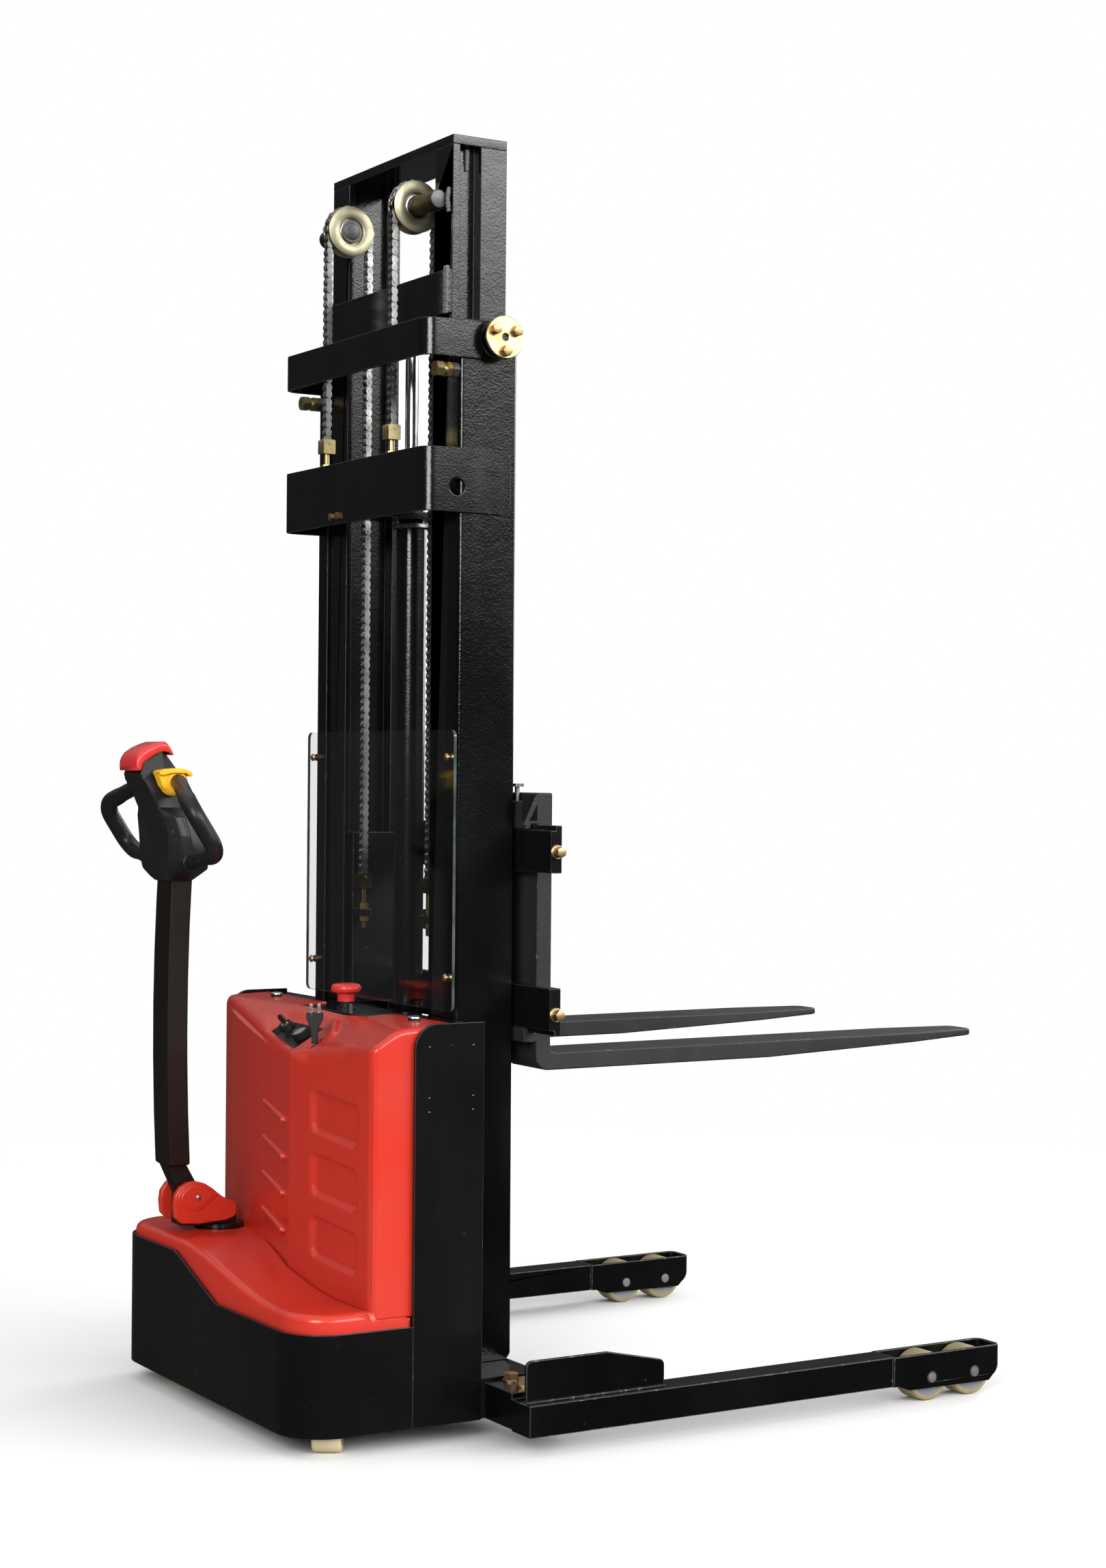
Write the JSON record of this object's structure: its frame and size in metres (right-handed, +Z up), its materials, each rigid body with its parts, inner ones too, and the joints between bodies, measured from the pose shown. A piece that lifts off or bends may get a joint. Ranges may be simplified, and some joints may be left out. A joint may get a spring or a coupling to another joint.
{
  "type": "electric stacker",
  "caption": "Pedestrian electric straddle stacker with a two-stage mast, hook-on sliding forks, chain lift, clear mast shield, moulded covers and an offset steering tiller.",
  "frame": {"origin": "on the floor under the middle of the overall box, with the inner mast a quarter metre raised", "axes": "+X forward along the forks, +Y to the machine's left, +Z up"},
  "size_m": [1.433, 0.994, 2.05],
  "materials": {
    "black_paint": "satin",
    "carriage_paint": "satin",
    "fork_paint": "satin",
    "red_shell": "moulded gloss",
    "yellow_zinc": "yellow zinc plated",
    "chain_steel": "oiled",
    "bright_steel": "bright",
    "chrome_rod": "polished",
    "clear_sheet": "clear acrylic",
    "black_plastic": "fine texture",
    "battery_case": "matt",
    "yellow_plastic": "satin",
    "cream_tread": "polyurethane"
  },
  "bodies": {
    "chassis": {"base_frame": "black_paint", "skirt": "black_paint", "side_plate_left": "black_paint", "side_plate_right": "black_paint", "top_panel": "black_paint", "battery_cover": "red_shell", "motor_hood": "red_shell", "outer_rail_left": "black_paint", "outer_rail_right": "black_paint", "upper_band": "black_paint", "lower_band": "black_paint", "mast_chain_anchors": "yellow_zinc", "chain_back_strands": "chain_steel", "lift_cylinder": "black_paint", "shield": "clear_sheet", "shield_screws": "yellow_zinc", "roller_caps": "yellow_zinc", "mast_fasteners": "yellow_zinc", "batteries": "battery_case", "pump_unit": "bright_steel", "switch_housings": "black_plastic", "charger_plug": "black_plastic", "cover_knobs": "bright_steel", "leg_left": "black_paint", "leg_right": "black_paint", "leg_bolts": "yellow_zinc"},
    "inner_mast": {"inner_rail_left": "black_paint", "inner_rail_right": "black_paint", "inner_ties": "black_paint", "lift_rod": "chrome_rod", "chain_wraps": "chain_steel"},
    "chain_wheels": {"chain_wheels": "yellow_zinc"},
    "mast_rollers_top": {"mast_rollers_top": "bright_steel"},
    "mast_rollers_foot": {"mast_rollers_foot": "bright_steel"},
    "carriage": {"carriage_frame": "carriage_paint", "carriage_chain_anchors": "yellow_zinc", "chain_front_strands": "chain_steel", "fork_stop_bolts": "yellow_zinc"},
    "carriage_rollers_upper": {"carriage_rollers_upper": "bright_steel"},
    "carriage_rollers_lower": {"carriage_rollers_lower": "bright_steel"},
    "fork_left": {"fork_left": "fork_paint"},
    "fork_right": {"fork_right": "fork_paint"},
    "fork_pin_left": {"fork_pin_left": "bright_steel"},
    "fork_pin_right": {"fork_pin_right": "bright_steel"},
    "steering": {"drive_unit": "black_paint", "tiller_bracket": "black_paint", "tiller_ear_covers": "red_shell"},
    "drive_wheel": {"drive_wheel": "cream_tread"},
    "tiller": {"tiller_arm": "black_paint", "tiller_head": "black_plastic"},
    "belly_button": {"belly_button": "red_shell"},
    "throttle": {"throttle": "yellow_plastic"},
    "stop_button": {"stop_button": "red_shell"},
    "key_switch": {"key_switch": "bright_steel"},
    "caster_fork": {"caster_fork": "bright_steel"},
    "caster_wheel": {"caster_wheel": "cream_tread"},
    "load_roller_rear_left": {"load_roller_rear_left": "cream_tread"},
    "load_roller_rear_right": {"load_roller_rear_right": "cream_tread"},
    "load_roller_front_left": {"load_roller_front_left": "cream_tread"},
    "load_roller_front_right": {"load_roller_front_right": "cream_tread"}
  },
  "joints": [
    {"name": "mast_lift", "type": "slide", "parent": "chassis", "child": "inner_mast", "axis": [0, 0, 1], "range_m": [-0.25, 1], "deforming": ["chain_back_strands"]},
    {"name": "carriage_lift", "type": "slide", "parent": "inner_mast", "child": "carriage", "axis": [0, 0, 1], "range_m": [-0.25, 1], "deforming": ["chain_front_strands"]},
    {"name": "chain_wheel_turn", "type": "hinge", "parent": "inner_mast", "child": "chain_wheels", "pos_m": [-0.349, 0, 1.9465], "axis": [0, 1, 0], "continuous": true},
    {"name": "top_roller_turn", "type": "hinge", "parent": "chassis", "child": "mast_rollers_top", "pos_m": [-0.2985, 0, 1.722], "axis": [0, 1, 0], "continuous": true},
    {"name": "foot_roller_turn", "type": "hinge", "parent": "inner_mast", "child": "mast_rollers_foot", "pos_m": [-0.2835, 0, 0.4], "axis": [0, 1, 0], "continuous": true},
    {"name": "carriage_upper_turn", "type": "hinge", "parent": "carriage", "child": "carriage_rollers_upper", "pos_m": [-0.281, 0, 0.88], "axis": [0, 1, 0], "continuous": true},
    {"name": "carriage_lower_turn", "type": "hinge", "parent": "carriage", "child": "carriage_rollers_lower", "pos_m": [-0.281, 0, 0.69], "axis": [0, 1, 0], "continuous": true},
    {"name": "fork_left_shift", "type": "slide", "parent": "carriage", "child": "fork_left", "axis": [0, 1, 0], "range_m": [-0.165, 0.075]},
    {"name": "fork_right_shift", "type": "slide", "parent": "carriage", "child": "fork_right", "axis": [0, -1, 0], "range_m": [-0.165, 0.075]},
    {"name": "fork_pin_left_lift", "type": "slide", "parent": "fork_left", "child": "fork_pin_left", "axis": [0, 0, 1], "range_m": [0, 0.015]},
    {"name": "fork_pin_right_lift", "type": "slide", "parent": "fork_right", "child": "fork_pin_right", "axis": [0, 0, 1], "range_m": [0, 0.015]},
    {"name": "steer_turn", "type": "hinge", "parent": "chassis", "child": "steering", "pos_m": [-0.5335, 0.205, 0.218], "axis": [0, 0, 1], "range_deg": [-75, 75]},
    {"name": "drive_spin", "type": "hinge", "parent": "steering", "child": "drive_wheel", "pos_m": [-0.5335, 0.205, 0.1], "axis": [0, 1, 0], "continuous": true},
    {"name": "tiller_tilt", "type": "hinge", "parent": "steering", "child": "tiller", "pos_m": [-0.5885, 0.205, 0.316], "axis": [0, -1, 0], "range_deg": [0, 70], "stiffness_Nm_per_rad": 34, "springref_deg": -17.19},
    {"name": "belly_press", "type": "slide", "parent": "tiller", "child": "belly_button", "axis": [0.4067, 0, -0.9135], "range_m": [0, 0.0045], "stiffness_N_per_m": 1500, "springref_m": -0.005},
    {"name": "throttle_turn", "type": "hinge", "parent": "tiller", "child": "throttle", "pos_m": [-0.6435, 0.205, 1.013], "axis": [0, 1, 0], "range_deg": [-25, 25], "stiffness_Nm_per_rad": 0.6},
    {"name": "stop_press", "type": "slide", "parent": "chassis", "child": "stop_button", "axis": [0, 0, -1], "range_m": [0, 0.007], "stiffness_N_per_m": 1500, "springref_m": -0.003},
    {"name": "key_turn", "type": "hinge", "parent": "chassis", "child": "key_switch", "pos_m": [-0.47771, 0.05751, 0.6053], "axis": [-0.5264, -0.0462, 0.849], "range_deg": [0, 60]},
    {"name": "caster_swivel", "type": "hinge", "parent": "chassis", "child": "caster_fork", "pos_m": [-0.5605, -0.272, 0.1], "axis": [0, 0, 1], "continuous": true},
    {"name": "caster_spin", "type": "hinge", "parent": "caster_fork", "child": "caster_wheel", "pos_m": [-0.57712, -0.29934, 0.0325], "axis": [-0.8545, 0.5195, 0], "continuous": true},
    {"name": "load_spin_rear_left", "type": "hinge", "parent": "chassis", "child": "load_roller_rear_left", "pos_m": [0.4359, 0.4655, 0.04], "axis": [0, 1, 0], "continuous": true},
    {"name": "load_spin_rear_right", "type": "hinge", "parent": "chassis", "child": "load_roller_rear_right", "pos_m": [0.4359, -0.4655, 0.04], "axis": [0, 1, 0], "continuous": true},
    {"name": "load_spin_front_left", "type": "hinge", "parent": "chassis", "child": "load_roller_front_left", "pos_m": [0.5268, 0.4655, 0.04], "axis": [0, 1, 0], "continuous": true},
    {"name": "load_spin_front_right", "type": "hinge", "parent": "chassis", "child": "load_roller_front_right", "pos_m": [0.5268, -0.4655, 0.04], "axis": [0, 1, 0], "continuous": true}
  ],
  "couplings": [
    {"joint": "carriage_lift", "follows": "mast_lift", "ratio": 1},
    {"joint": "chain_wheel_turn", "follows": "mast_lift", "rad_per_m": -26.316},
    {"joint": "top_roller_turn", "follows": "mast_lift", "rad_per_m": 53.476},
    {"joint": "foot_roller_turn", "follows": "mast_lift", "rad_per_m": 24.753},
    {"joint": "carriage_upper_turn", "follows": "mast_lift", "rad_per_m": 26.178},
    {"joint": "carriage_lower_turn", "follows": "mast_lift", "rad_per_m": -26.178}
  ]
}
